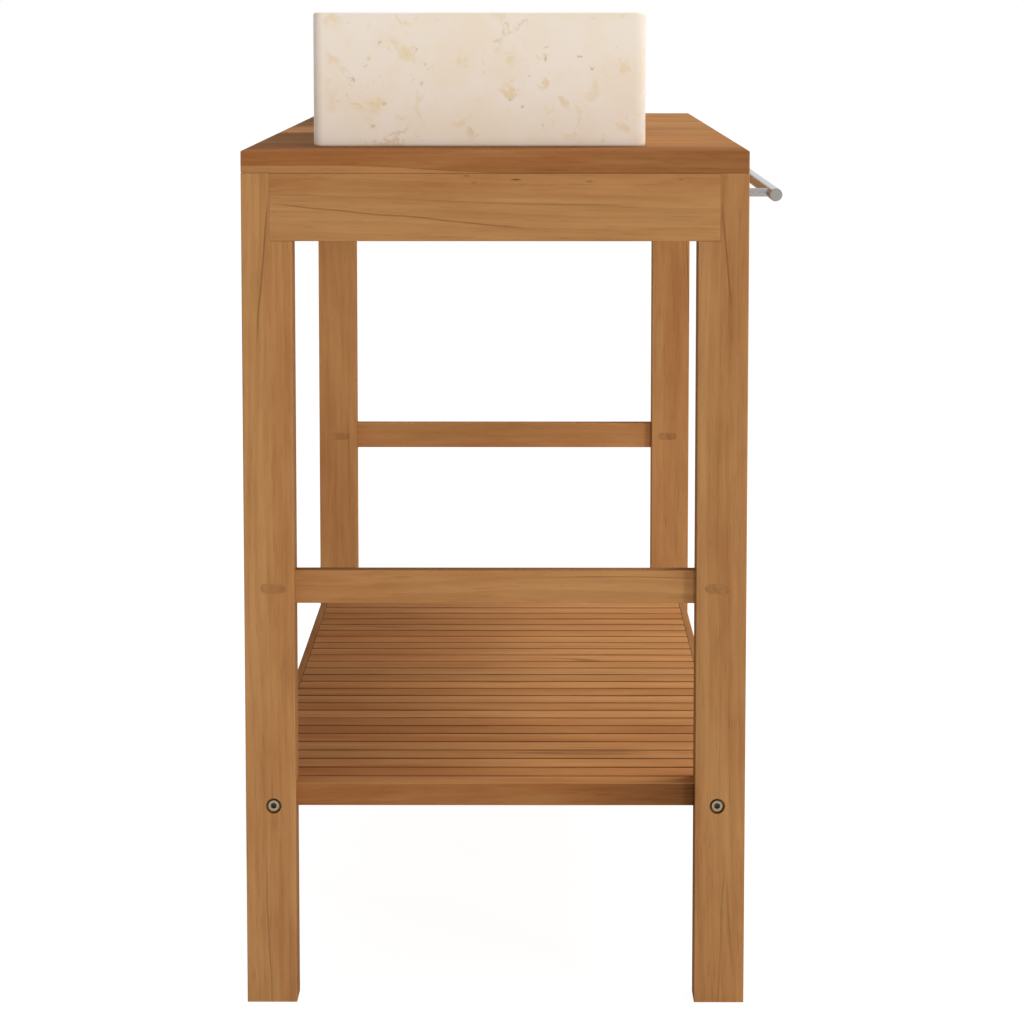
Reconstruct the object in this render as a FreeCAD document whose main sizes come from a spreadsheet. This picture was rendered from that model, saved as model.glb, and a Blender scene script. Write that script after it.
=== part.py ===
"""Double vanity stand: a slatted hardwood table with two stone basins and a towel bar.

Frame: X along the stand, -Y is the front with the towel bar, Z up, the floor at Z = 0.
The origin lies under the middle of the whole object, towel bar included. Lengths in mm.
"""
import FreeCAD, Part
import os
import re

from FreeCAD import Placement, Rotation, Vector

# Driving sizes, each one free to change by itself
DIMENSIONS = {
    # Stand
    "overall_length": 1320,
    "body_depth": 450,
    "stand_height": 770,
    "top_thickness": 20,
    "leg_width": 45,
    "apron_height": 60,
    "apron_thickness": 20,
    "apron_spacing": 5.5,
    # Side stretchers, keyed into the legs
    "stretcher_level": 364,
    "stretcher_height": 30,
    "stretcher_thickness": 18,
    "tenon_length": 38,
    "tenon_height": 22,
    "tenon_thickness": 10,
    "key_width": 22,
    "key_height": 8,
    # Slatted shelf
    "shelf_level": 200,
    "slat_width": 38.4,
    "slat_gap": 4,
    "slat_thickness": 12,
    "slat_end_gap": 0.5,
    "rail_inset": 10,
    "rail_thickness": 30,
    "rail_height": 38,
    "rail_lip": 7.5,
    "end_rail_inset": 12,
    "end_rail_gap": 1,
    "end_rail_thickness": 21,
    "end_tenon_length": 14,
    "end_tenon_width": 20,
    "end_tenon_thickness": 10,
    # Bolts that hold the shelf rails to the legs
    "bolt_diameter": 6,
    "bolt_head_diameter": 10,
    "bolt_head_height": 6,
    "bolt_socket_width": 5,
    "bolt_socket_depth": 3,
    "bolt_sink": 1,
    "counterbore_gap": 2,
    "barrel_diameter": 10,
    "barrel_length": 18,
    "barrel_cover": 2,
    "bolt_overrun": 3,
    # Wood screws under the top and under the slats
    "screw_diameter": 4,
    "screw_tip": 4,
    "screw_point": 0.8,
    "screw_head_diameter": 8,
    "screw_head_height": 2.5,
    "top_bite": 12,
    "top_grip": 18,
    "slat_bite": 9,
    "slat_screw_sink": 5,
    "slat_screw_edge": 6,
    # Basins
    "basin_length": 450,
    "basin_depth": 302,
    "basin_height": 121,
    "basin_wall": 18,
    "basin_floor": 28,
    "basin_setback": 15,
    # Pop-up wastes
    "tail_diameter": 41.9,
    "tail_wall": 4,
    "tail_drop": 45,
    "spigot_length": 20,
    "spigot_groove": 2,
    "waste_clearance": 2,
    "flange_diameter": 64,
    "flange_thickness": 3,
    "seal_thickness": 2,
    "locknut_width": 54,
    "locknut_height": 10,
    "hub_diameter": 14,
    "hub_length": 16,
    "hub_depth": 8,
    "rib_thickness": 3,
    "rib_height": 8,
    "plug_diameter": 58,
    "plug_thickness": 5,
    "stem_diameter": 8,
    "stem_overrun": 2,
    # Towel bar
    "bar_diameter": 12,
    "bar_standoff": 29,
    "bar_drop": 43,
    "bar_margin": 90,
    "post_diameter": 8,
    "post_overhang": 50,
    "post_screw_diameter": 4,
    "post_screw_bite": 14,
    "post_screw_head_diameter": 8,
    "post_screw_head_height": 3,
    # Roundings
    "top_round": 1.5,
    "frame_round": 1,
    "slat_round": 2,
    "basin_corner_round": 9,
    "basin_edge_round": 2.5,
    "bowl_corner_round": 22,
    "bowl_floor_round": 14,
    "metal_round": 0.8,
    # Clearances, on each side of a fit
    "wood_fit": 0.1,
    "thread_fit": 0.05,
    "running_fit": 0.05,
    "bolt_clearance": 0.3,
    "head_clearance": 0.5,
    "plug_gap": 0.3,
}

# Sizes and places that follow from the driving ones
RELATIONS = {
    "body_y": "(bar_standoff + bar_diameter / 2) / 2",
    "leg_height": "stand_height - top_thickness",
    "leg_half": "leg_width / 2",
    "leg_x": "overall_length / 2 - leg_half",
    "leg_y": "body_depth / 2 - leg_half",
    "apron_base": "leg_height - apron_height",
    "apron_end": "apron_thickness + apron_spacing",
    "apron_lap": "leg_width - apron_end",
    "side_apron_half": "body_depth / 2 - apron_end - wood_fit",
    "long_apron_half": "overall_length / 2 - apron_end - wood_fit",
    "legs_gap_x": "overall_length - 2 * leg_width",
    "legs_gap_y": "body_depth - 2 * leg_width",
    "stretcher_middle": "stretcher_level + stretcher_height / 2",
    "key_y": "legs_gap_y / 2 + tenon_length / 2",
    "slat_count": "round(legs_gap_x / (slat_width + slat_gap))",
    "slat_pitch": "legs_gap_x / slat_count",
    "slat_half": "body_depth / 2 - rail_inset - rail_lip - slat_end_gap",
    "slat_base": "shelf_level - slat_thickness",
    "rail_y": "body_depth / 2 - rail_inset - rail_thickness / 2",
    "rail_base": "shelf_level - rail_height",
    "bolt_level": "slat_base - barrel_cover - barrel_diameter / 2",
    "bolt_offset": "rail_y - leg_y",
    "bolt_head_depth": "bolt_head_height + bolt_sink",
    "counterbore_diameter": "bolt_head_diameter + 2 * counterbore_gap",
    "barrel_x": "legs_gap_x / 2 - slat_pitch",
    "bolt_reach": "slat_pitch + barrel_diameter / 2 + bolt_overrun",
    "slat_screw_y": "rail_y - rail_thickness / 2 + slat_screw_edge",
    "slat_screw_seat": "rail_base + slat_screw_sink",
    "slat_screw_length": "slat_base + slat_bite - slat_screw_seat",
    "top_screw_seat": "leg_height - top_grip",
    "top_screw_length": "top_grip + top_bite",
    "top_screw_pitch": "legs_gap_x / 4",
    "apron_x": "overall_length / 2 - apron_thickness / 2",
    "apron_y": "body_depth / 2 - apron_thickness / 2",
    "end_rail_width": "leg_width - end_rail_inset - end_rail_gap",
    "end_rail_x": "overall_length / 2 - end_rail_inset - end_rail_width / 2",
    "end_rail_shift": "end_rail_x - leg_x",
    "end_rail_base": "shelf_level - end_rail_thickness",
    "end_rail_middle": "shelf_level - end_rail_thickness / 2",
    "basin_x": "overall_length / 4",
    "bowl_floor": "stand_height + basin_floor",
    "flange_base": "bowl_floor - flange_thickness",
    "recess_base": "flange_base - seal_thickness",
    "waste_hole": "tail_diameter + 2 * waste_clearance",
    "tail_base": "leg_height - tail_drop",
    "tail_bore": "tail_diameter - 2 * tail_wall",
    "locknut_top": "leg_height - seal_thickness",
    "hub_top": "bowl_floor - hub_depth",
    "hub_base": "hub_top - hub_length",
    "stem_length": "hub_depth + hub_length + plug_gap + stem_overrun",
    "bar_half": "overall_length / 2 - bar_margin",
    "bar_level": "stand_height - bar_drop",
    "bar_y": "body_depth / 2 + bar_standoff",
    "post_x": "bar_half - post_overhang",
}

LEFT, RIGHT = -1, 1
FRONT, REAR = -1, 1
SIDES = {"left": LEFT, "right": RIGHT}
FACES = {"front": FRONT, "rear": REAR}
TURN_TO_AXIS = {
    "X": Rotation(Vector(0, 1, 0), 90),
    "Y": Rotation(Vector(1, 0, 0), -90),
    "Z": Rotation(),
}
SNAP = 1e-3
STRAIGHT = 0.99
HEX_SIDES = 6
NO_TURN = Rotation()
HALF_TURN = Rotation(Vector(0, 0, 1), 180)

doc = FreeCAD.newDocument("double_vanity_stand")
sheet = doc.addObject("Spreadsheet::Sheet", "dim")
pieces = []


def fill_sheet():
    """Write every size and relation to a row of the sheet, under its own name."""
    rows = {name: str(size) for name, size in DIMENSIONS.items()}
    rows.update({name: "=" + relation for name, relation in RELATIONS.items()})
    for row, (name, content) in enumerate(rows.items(), 1):
        sheet.set(f"A{row}", name)
        sheet.set(f"B{row}", content)
        sheet.setAlias(f"B{row}", name)
    doc.recompute()


def formula(text):
    """Point each size named in a formula at its cell of the sheet."""

    def cell(word):
        name = word.group()
        return f"dim.{name}" if name in DIMENSIONS or name in RELATIONS else name

    return re.sub(r"[a-z_]+", cell, text)


def value(text):
    """Work out a formula as a plain number."""
    return float(sheet.evalExpression(formula(text)))


def tie(item, **sizes):
    """Bind an object's properties to formulas of the sheet."""
    for name, text in sizes.items():
        item.setExpression(name, formula(text))


def place(item, x, y, z):
    """Bind an object's position to formulas of the sheet."""
    for axis, text in zip("xyz", (x, y, z)):
        item.setExpression(f"Placement.Base.{axis}", formula(text))


def outward(sign, near, far):
    """The span from near to far, measured along the side that the sign gives."""
    if sign > 0:
        return near, far
    return f"-({far})", f"-({near})"


def about(middle, size):
    """A span of the given size about a middle."""
    return f"{middle} - ({size}) / 2", f"{middle} + ({size}) / 2"


def new_body(label, x="0", y="0", z="0"):
    """A body of its own, placed from the stand's middle plane and the floor."""
    body = doc.addObject("PartDesign::Body", label)
    body.Label = label
    place(body, x, f"body_y + {y}", z)
    return body


def new_piece(label, x="0", y="0", z="0"):
    """A body that is one of the stand's pieces."""
    body = new_body(label, x, y, z)
    pieces.append(body)
    return body


def block(body, x, y, z, cut=False):
    """Add a box that fills three spans, or cut it away."""
    kind = "PartDesign::SubtractiveBox" if cut else "PartDesign::AdditiveBox"
    box = body.newObject(kind, "Cutout" if cut else "Block")
    lengths = [f"({far}) - ({near})" for near, far in (x, y, z)]
    tie(box, Length=lengths[0], Width=lengths[1], Height=lengths[2])
    place(box, x[0], y[0], z[0])
    return box


def rod(body, axis, diameter, span, centre, cut=False):
    """Add a cylinder along an axis over a span, or drill it away as a hole."""
    kind = "PartDesign::SubtractiveCylinder" if cut else "PartDesign::AdditiveCylinder"
    cylinder = body.newObject(kind, "Hole" if cut else "Rod")
    cylinder.Placement = Placement(Vector(), TURN_TO_AXIS[axis])
    tie(cylinder, Radius=f"({diameter}) / 2", Height=f"({span[1]}) - ({span[0]})")
    base = list(centre)
    base.insert("XYZ".index(axis), span[0])
    place(cylinder, *base)
    return cylinder


def slot(body, width, height, span, middle, cut=False):
    """Add an oblong with round ends along X, or cut it away."""
    middle_y, middle_z = middle
    block(body, span, about(middle_y, f"{width} - ({height})"), about(middle_z, height), cut)
    for end in (-1, 1):
        end_y = f"{middle_y} + {end} * ({width} - ({height})) / 2"
        rod(body, "X", height, span, (end_y, middle_z), cut)


def round_edges(body, radius, wanted):
    """Round the edges of a body that the wanted function picks."""
    doc.recompute()
    last = body.Tip
    names = [f"Edge{number}" for number, edge in enumerate(last.Shape.Edges, 1) if wanted(edge)]
    rounding = body.newObject("PartDesign::Fillet", "Rounding")
    rounding.Base = (last, names)
    tie(rounding, Radius=radius)


def repeat_along_x(body, features, count, pitch):
    """Repeat features of a body along X, the first one where it stands."""
    row = body.newObject("PartDesign::LinearPattern", "Row")
    row.Originals = features
    x_axis = next(item for item in body.Origin.OriginFeatures if item.Role == "X_Axis")
    row.Direction = (x_axis, [""])
    tie(row, Length=f"({count} - 1) * {pitch}", Occurrences=count)
    body.Tip = row


def any_edge(edge):
    """Every edge of a plain blank."""
    return True


def along(axis):
    """A test for straight edges that run along one axis."""

    def wanted(edge):
        ends = edge.lastVertex().Point - edge.firstVertex().Point
        return edge.Curve.TypeId == "Part::GeomLine" and abs(getattr(ends, axis)) > STRAIGHT * ends.Length

    return wanted


def at_height(level):
    """A test for edges that lie flat at one height of their body."""
    height = value(level)

    def wanted(edge):
        box = edge.BoundBox
        return abs(box.ZMin - height) < SNAP and abs(box.ZMax - height) < SNAP

    return wanted


def uprights_within(length, depth):
    """A test for upright edges inside a rectangle about the body's middle, its corners included."""
    half_length = value(length) / 2 + SNAP
    half_depth = value(depth) / 2 + SNAP
    upright = along("z")

    def wanted(edge):
        middle = edge.CenterOfMass
        return upright(edge) and abs(middle.x) < half_length and abs(middle.y) < half_depth

    return wanted


def top_screw_places():
    """Where the top's screws stand: x and y from the middle of the stand, for each apron."""
    long_places = [f"{step} * top_screw_pitch" for step in (-1.5, -0.5, 0.5, 1.5)]
    side_places = [f"{step} * side_apron_half" for step in (-0.5, 0.5)]
    return long_places, side_places


def slat_middle(number):
    """The X of a slat's middle, counted from the left legs."""
    return f"({number} + 0.5) * slat_pitch - legs_gap_x / 2"


def drill_top_screw(apron, x, y):
    """A screw hole up through an apron, with a wide bore below for the head."""
    rod(apron, "Z", "screw_diameter + 2 * thread_fit", ("apron_base", "leg_height"), (x, y), cut=True)
    head_bore = "screw_head_diameter + 2 * head_clearance"
    rod(apron, "Z", head_bore, ("apron_base", "top_screw_seat"), (x, y), cut=True)


def make_leg(label, side, face):
    """A square leg with notches for two aprons and mortises for the rails that meet it."""
    leg = new_piece(label, f"{side} * leg_x", f"{face} * leg_y")
    across = about("0", "leg_width")
    block(leg, across, across, ("0", "leg_height"))
    round_edges(leg, "frame_round", along("z"))
    inner_lap = ("-leg_half", "apron_lap - leg_half")
    outer_face = ("leg_half - apron_thickness", "leg_half")
    notch = ("apron_base", "leg_height")
    block(leg, outward(side, *outer_face), outward(face, *inner_lap), notch, cut=True)
    block(leg, outward(side, *inner_lap), outward(face, *outer_face), notch, cut=True)
    mortise_depth = outward(face, "-leg_half", "tenon_length + wood_fit - leg_half")
    mortise_width = about("0", "tenon_thickness + 2 * wood_fit")
    mortise_height = about("stretcher_middle", "tenon_height + 2 * wood_fit")
    block(leg, mortise_width, mortise_depth, mortise_height, cut=True)
    key_middle = (f"{face} * (key_y - leg_y)", "stretcher_middle")
    slot(leg, "key_width + 2 * wood_fit", "key_height + 2 * wood_fit", across, key_middle, cut=True)
    end_depth = outward(face, "-leg_half", "end_tenon_length + wood_fit - leg_half")
    end_width = about(f"{side} * end_rail_shift", "end_tenon_width + 2 * wood_fit")
    end_height = about("end_rail_middle", "end_tenon_thickness + 2 * wood_fit")
    block(leg, end_width, end_depth, end_height, cut=True)
    bolt_axis = (f"{face} * bolt_offset", "bolt_level")
    rod(leg, "X", "bolt_diameter + 2 * bolt_clearance", across, bolt_axis, cut=True)
    counterbore = outward(side, "leg_half - bolt_head_depth", "leg_half")
    rod(leg, "X", "counterbore_diameter", counterbore, bolt_axis, cut=True)


def make_side_apron(label, side):
    """The board under the top at one end, lapped into both legs."""
    apron = new_piece(label, f"{side} * apron_x")
    board = ("-side_apron_half", "side_apron_half")
    block(apron, about("0", "apron_thickness"), board, ("apron_base", "leg_height"))
    round_edges(apron, "frame_round", along("y"))
    for y in top_screw_places()[1]:
        drill_top_screw(apron, "0", y)


def make_long_apron(label, face):
    """The board under the top along the front or rear; the front one carries the towel bar."""
    apron = new_piece(label, "0", f"{face} * apron_y")
    board = ("-long_apron_half", "long_apron_half")
    thickness = about("0", "apron_thickness")
    block(apron, board, thickness, ("apron_base", "leg_height"))
    round_edges(apron, "frame_round", along("x"))
    for x in top_screw_places()[0]:
        drill_top_screw(apron, x, "0")
    if face == FRONT:
        for side in SIDES.values():
            post_hole = "post_screw_diameter + 2 * bolt_clearance"
            rod(apron, "Y", post_hole, thickness, (f"{side} * post_x", "bar_level"), cut=True)


def make_top_panel():
    """The top, with pilot holes for its screws and a hole under each basin's waste."""
    top = new_piece("top_panel", z="leg_height")
    block(top, about("0", "overall_length"), about("0", "body_depth"), ("0", "top_thickness"))
    round_edges(top, "top_round", any_edge)
    pilot = "screw_diameter + 2 * thread_fit"
    long_places, side_places = top_screw_places()
    spots = [(x, f"{face} * apron_y") for face in FACES.values() for x in long_places]
    spots += [(f"{side} * apron_x", y) for side in SIDES.values() for y in side_places]
    for spot in spots:
        rod(top, "Z", pilot, ("0", "top_bite + thread_fit"), spot, cut=True)
    for side in SIDES.values():
        waste_axis = (f"{side} * basin_x", "basin_setback")
        rod(top, "Z", "waste_hole", ("0", "top_thickness"), waste_axis, cut=True)


def make_stretcher(label, side):
    """The thin rail between two legs, with a keyed tenon at each end."""
    stretcher = new_piece(label, f"{side} * leg_x")
    shoulders = about("0", "legs_gap_y")
    height = ("stretcher_level", "stretcher_level + stretcher_height")
    block(stretcher, about("0", "stretcher_thickness"), shoulders, height)
    round_edges(stretcher, "frame_round", along("y"))
    tenons = about("0", "legs_gap_y + 2 * tenon_length")
    block(stretcher, about("0", "tenon_thickness"), tenons, about("stretcher_middle", "tenon_height"))
    through = about("0", "tenon_thickness")
    for face in FACES.values():
        middle = (f"{face} * key_y", "stretcher_middle")
        slot(stretcher, "key_width + 2 * wood_fit", "key_height + 2 * wood_fit", through, middle, cut=True)


def make_shelf_rail(label, face):
    """The long rail that carries the slats' ends in a rebate, bolted between the legs."""
    rail = new_piece(label, "0", f"{face} * rail_y")
    length = about("0", "legs_gap_x")
    block(rail, length, about("0", "rail_thickness"), ("rail_base", "shelf_level"))
    round_edges(rail, "frame_round", along("x"))
    rebate = outward(face, "-rail_thickness / 2", "rail_thickness / 2 - rail_lip")
    block(rail, length, rebate, ("slat_base", "shelf_level"), cut=True)
    for side in SIDES.values():
        bolt_span = outward(side, "legs_gap_x / 2 - bolt_reach - bolt_clearance", "legs_gap_x / 2")
        rod(rail, "X", "bolt_diameter + 2 * bolt_clearance", bolt_span, ("0", "bolt_level"), cut=True)
        barrel_span = outward(face, "-rail_thickness / 2", "barrel_length / 2 + wood_fit")
        barrel_axis = (f"{side} * barrel_x", "bolt_level")
        rod(rail, "Y", "barrel_diameter + 2 * thread_fit", barrel_span, barrel_axis, cut=True)
    first = (slat_middle(0), f"{face} * (slat_screw_y - rail_y)")
    shank_hole = "screw_diameter + 2 * thread_fit"
    head_bore = "screw_head_diameter + 2 * head_clearance"
    holes = [
        rod(rail, "Z", shank_hole, ("rail_base", "slat_base"), first, cut=True),
        rod(rail, "Z", head_bore, ("rail_base", "slat_screw_seat"), first, cut=True),
    ]
    repeat_along_x(rail, holes, "slat_count", "slat_pitch")


def make_end_rail(label, side):
    """The board that closes the shelf between two legs, tenoned into both."""
    rail = new_piece(label, f"{side} * end_rail_x")
    width = about("0", "end_rail_width")
    block(rail, width, about("0", "legs_gap_y"), ("end_rail_base", "shelf_level"))
    round_edges(rail, "slat_round", along("y"))
    tenons = about("0", "legs_gap_y + 2 * end_tenon_length")
    tenon_height = about("end_rail_middle", "end_tenon_thickness")
    block(rail, about("0", "end_tenon_width"), tenons, tenon_height)


def make_slat(number):
    """One shelf slat, with a pilot hole near each end."""
    slat = new_piece(f"shelf_slat_{number + 1:02d}", slat_middle(number), z="slat_base")
    block(slat, about("0", "slat_width"), ("-slat_half", "slat_half"), ("0", "slat_thickness"))
    round_edges(slat, "slat_round", along("y"))
    for face in FACES.values():
        axis = ("0", f"{face} * slat_screw_y")
        rod(slat, "Z", "screw_diameter + 2 * thread_fit", ("0", "slat_bite + thread_fit"), axis, cut=True)


def make_basin(label, side):
    """A square-sided stone basin with a round-cornered bowl and a recessed waste hole."""
    basin = new_piece(label, f"{side} * basin_x", "basin_setback", "stand_height")
    block(basin, about("0", "basin_length"), about("0", "basin_depth"), ("0", "basin_height"))
    round_edges(basin, "basin_corner_round", along("z"))
    bowl_length = "basin_length - 2 * basin_wall"
    bowl_depth = "basin_depth - 2 * basin_wall"
    block(basin, about("0", bowl_length), about("0", bowl_depth), ("basin_floor", "basin_height"), cut=True)
    round_edges(basin, "bowl_corner_round", uprights_within(bowl_length, bowl_depth))
    round_edges(basin, "bowl_floor_round", at_height("basin_floor"))
    round_edges(basin, "basin_edge_round", at_height("0"))
    round_edges(basin, "basin_edge_round", at_height("basin_height"))
    axis = ("0", "0")
    rod(basin, "Z", "waste_hole", ("0", "basin_floor"), axis, cut=True)
    recess = "flange_diameter + 2 * head_clearance"
    recess_base = "basin_floor - flange_thickness - seal_thickness"
    rod(basin, "Z", recess, (recess_base, "basin_floor"), axis, cut=True)


def make_waste(label, side):
    """The waste's body: a flange in the bowl, a threaded tail and a ribbed hub for the plug's stem."""
    waste = new_piece(label, f"{side} * basin_x", "basin_setback")
    axis = ("0", "0")
    rod(waste, "Z", "flange_diameter", ("flange_base", "bowl_floor"), axis)
    round_edges(waste, "metal_round", at_height("bowl_floor"))
    groove_base = "tail_base + spigot_length"
    groove_top = f"{groove_base} + spigot_groove"
    rod(waste, "Z", "tail_diameter", (groove_top, "flange_base"), axis)
    rod(waste, "Z", "tail_diameter - spigot_groove", (groove_base, groove_top), axis)
    rod(waste, "Z", "tail_diameter", ("tail_base", groove_base), axis)
    rod(waste, "Z", "tail_bore", ("tail_base", "bowl_floor"), axis, cut=True)
    rib_span = about("0", "tail_bore + tail_wall")
    rib_width = about("0", "rib_thickness")
    rib_rise = about("hub_base + hub_length / 2", "rib_height")
    block(waste, rib_span, rib_width, rib_rise)
    block(waste, rib_width, rib_span, rib_rise)
    rod(waste, "Z", "hub_diameter", ("hub_base", "hub_top"), axis)
    rod(waste, "Z", "stem_diameter + 2 * running_fit", ("hub_base", "hub_top"), axis, cut=True)


def make_plug(label, side):
    """The pop-up plug: a low round cap over the flange, on a stem that slides in the hub."""
    plug = new_piece(label, f"{side} * basin_x", "basin_setback", "bowl_floor + plug_gap")
    axis = ("0", "0")
    rod(plug, "Z", "plug_diameter", ("0", "plug_thickness"), axis)
    round_edges(plug, "plug_thickness / 2", at_height("plug_thickness"))
    rod(plug, "Z", "stem_diameter", ("-stem_length", "0"), axis)


def make_towel_bar():
    """The round bar along the front, bored from behind for its posts."""
    bar = new_piece("towel_bar", "0", "-bar_y", "bar_level")
    rod(bar, "X", "bar_diameter", ("-bar_half", "bar_half"), ("0", "0"))
    round_edges(bar, "metal_round", any_circle)
    for side in SIDES.values():
        post_bore = "post_diameter + 2 * thread_fit"
        post_span = ("-thread_fit", "bar_diameter / 2")
        rod(bar, "Y", post_bore, post_span, (f"{side} * post_x", "0"), cut=True)


def any_circle(edge):
    """A test for full circles, such as the rims of a rod's ends."""
    return edge.Curve.TypeId == "Part::GeomCircle"


def copies(label, spots):
    """One piece made of separate fasteners, each a copy of a pattern at its own spot and turn."""
    group = doc.addObject("Part::Feature", label)
    group.Label = label
    solids = []
    for pattern, x, y, z, turn in spots:
        solid = pattern.Tip.Shape.copy()
        spot = Placement(Vector(value(x), value(y), value(z)), turn)
        solid.Placement = spot.multiply(solid.Placement)
        solids.append(solid)
    group.Shape = Part.makeCompound(solids)
    group.Placement = Placement(Vector(0, value("body_y"), 0), NO_TURN)
    pieces.append(group)


def make_keys():
    """The oblong keys that lock the stretchers' tenons, flush with both faces of the legs."""
    key = new_body("key_pattern")
    slot(key, "key_width", "key_height", about("0", "leg_width"), ("0", "0"))
    doc.recompute()
    spots = []
    for side in SIDES.values():
        for face in FACES.values():
            spots.append((key, f"{side} * leg_x", f"{face} * key_y", "stretcher_middle", NO_TURN))
    copies("stretcher_keys", spots)


def make_shelf_bolts():
    """The hex socket bolts through the legs and the barrel nuts that they pull on."""
    bolt = new_body("bolt_pattern")
    axis = ("0", "0")
    rod(bolt, "X", "bolt_head_diameter", ("0", "bolt_head_height"), axis)
    round_edges(bolt, "metal_round / 2", any_circle)
    shank_end = "bolt_head_height + leg_width - bolt_head_depth + bolt_reach"
    rod(bolt, "X", "bolt_diameter", ("bolt_head_height", shank_end), axis)
    socket = bolt.newObject("PartDesign::SubtractivePrism", "Socket")
    socket.Polygon = HEX_SIDES
    socket.Placement = Placement(Vector(), TURN_TO_AXIS["X"])
    tie(socket, Circumradius="bolt_socket_width / sqrt(3)", Height="bolt_socket_depth")
    barrel = new_body("barrel_pattern")
    rod(barrel, "Y", "barrel_diameter", about("0", "barrel_length"), axis)
    thread = "bolt_diameter + 2 * thread_fit"
    rod(barrel, "X", thread, about("0", "barrel_diameter"), axis, cut=True)
    doc.recompute()
    bolt_spots = []
    barrel_spots = []
    for side in SIDES.values():
        turn = NO_TURN if side == LEFT else HALF_TURN
        for face in FACES.values():
            head_x = f"{side} * (overall_length / 2 - bolt_sink)"
            bolt_spots.append((bolt, head_x, f"{face} * rail_y", "bolt_level", turn))
            barrel_spots.append((barrel, f"{side} * barrel_x", f"{face} * rail_y", "bolt_level", turn))
    copies("shelf_bolts", bolt_spots)
    copies("barrel_nuts", barrel_spots)


def screw_pattern(label, length):
    """A wood screw that points up, its head below the seat at Z = 0."""
    screw = new_body(label)
    axis = ("0", "0")
    rod(screw, "Z", "screw_head_diameter", ("-screw_head_height", "0"), axis)
    round_edges(screw, "metal_round", at_height("-screw_head_height"))
    rod(screw, "Z", "screw_diameter", ("0", f"{length} - screw_tip"), axis)
    tip = screw.newObject("PartDesign::AdditiveCone", "Tip")
    tie(tip, Radius1="screw_diameter / 2", Radius2="screw_point / 2", Height="screw_tip")
    place(tip, "0", "0", f"{length} - screw_tip")
    return screw


def make_wood_screws():
    """The screws that hold the top to the aprons and the slats to the shelf rails."""
    top_screw = screw_pattern("top_screw_pattern", "top_screw_length")
    slat_screw = screw_pattern("slat_screw_pattern", "slat_screw_length")
    doc.recompute()
    long_places, side_places = top_screw_places()
    spots = []
    for face in FACES.values():
        spots += [(top_screw, x, f"{face} * apron_y", "top_screw_seat", NO_TURN) for x in long_places]
        screw_y = f"{face} * slat_screw_y"
        for number in range(slat_count):
            spots.append((slat_screw, slat_middle(number), screw_y, "slat_screw_seat", NO_TURN))
    for side in SIDES.values():
        spots += [(top_screw, f"{side} * apron_x", y, "top_screw_seat", NO_TURN) for y in side_places]
    copies("wood_screws", spots)


def make_waste_fixings():
    """The rubber seals above and below each waste's hole, and the lock nut that clamps the basin."""
    axis = ("0", "0")
    seal = new_body("seal_pattern")
    rod(seal, "Z", "flange_diameter", ("0", "seal_thickness"), axis)
    rod(seal, "Z", "tail_diameter + 2 * bolt_clearance", ("0", "seal_thickness"), axis, cut=True)
    nut = new_body("locknut_pattern")
    hexagon = nut.newObject("PartDesign::AdditivePrism", "Hexagon")
    hexagon.Polygon = HEX_SIDES
    tie(hexagon, Circumradius="locknut_width / sqrt(3)", Height="locknut_height")
    rod(nut, "Z", "tail_diameter + 2 * thread_fit", ("0", "locknut_height"), axis, cut=True)
    doc.recompute()
    seal_spots = []
    nut_spots = []
    for side in SIDES.values():
        x = f"{side} * basin_x"
        seal_spots.append((seal, x, "basin_setback", "recess_base", NO_TURN))
        seal_spots.append((seal, x, "basin_setback", "locknut_top", NO_TURN))
        nut_spots.append((nut, x, "basin_setback", "locknut_top - locknut_height", NO_TURN))
    copies("waste_seals", seal_spots)
    copies("waste_locknuts", nut_spots)


def make_bar_posts():
    """The two posts of the towel bar and the machine screws behind the front apron."""
    axis = ("0", "0")
    post = new_body("post_pattern")
    rod(post, "Y", "post_diameter", ("-bar_standoff", "0"), axis)
    thread = "post_screw_diameter + 2 * thread_fit"
    rod(post, "Y", thread, ("-post_screw_bite - thread_fit", "0"), axis, cut=True)
    screw = new_body("post_screw_pattern")
    rod(screw, "Y", "post_screw_head_diameter", ("0", "post_screw_head_height"), axis)
    round_edges(screw, "metal_round", any_circle)
    shank = ("-apron_thickness - post_screw_bite", "0")
    rod(screw, "Y", "post_screw_diameter", shank, axis)
    doc.recompute()
    post_spots = []
    screw_spots = []
    for side in SIDES.values():
        x = f"{side} * post_x"
        post_spots.append((post, x, "-body_depth / 2", "bar_level", NO_TURN))
        screw_spots.append((screw, x, "apron_thickness - body_depth / 2", "bar_level", NO_TURN))
    copies("towel_bar_posts", post_spots)
    copies("towel_bar_screws", screw_spots)


def check_and_write():
    """Stop if any object failed or any piece is not sound, then write one file for each piece."""
    doc.recompute()
    failed = [item.Name for item in doc.Objects if {"Invalid", "Error"} & set(item.State)]
    if failed:
        raise RuntimeError(f"objects that failed: {failed}")
    for piece in pieces:
        if piece.Shape.isNull() or not piece.Shape.isValid():
            raise RuntimeError(f"{piece.Label} has no sound shape")
    os.makedirs("parts", exist_ok=True)
    for piece in pieces:
        piece.Shape.exportStep(f"parts/{piece.Label}.step")
    print(f"{len(pieces)} pieces, {sum(len(piece.Shape.Solids) for piece in pieces)} solids")


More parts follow.
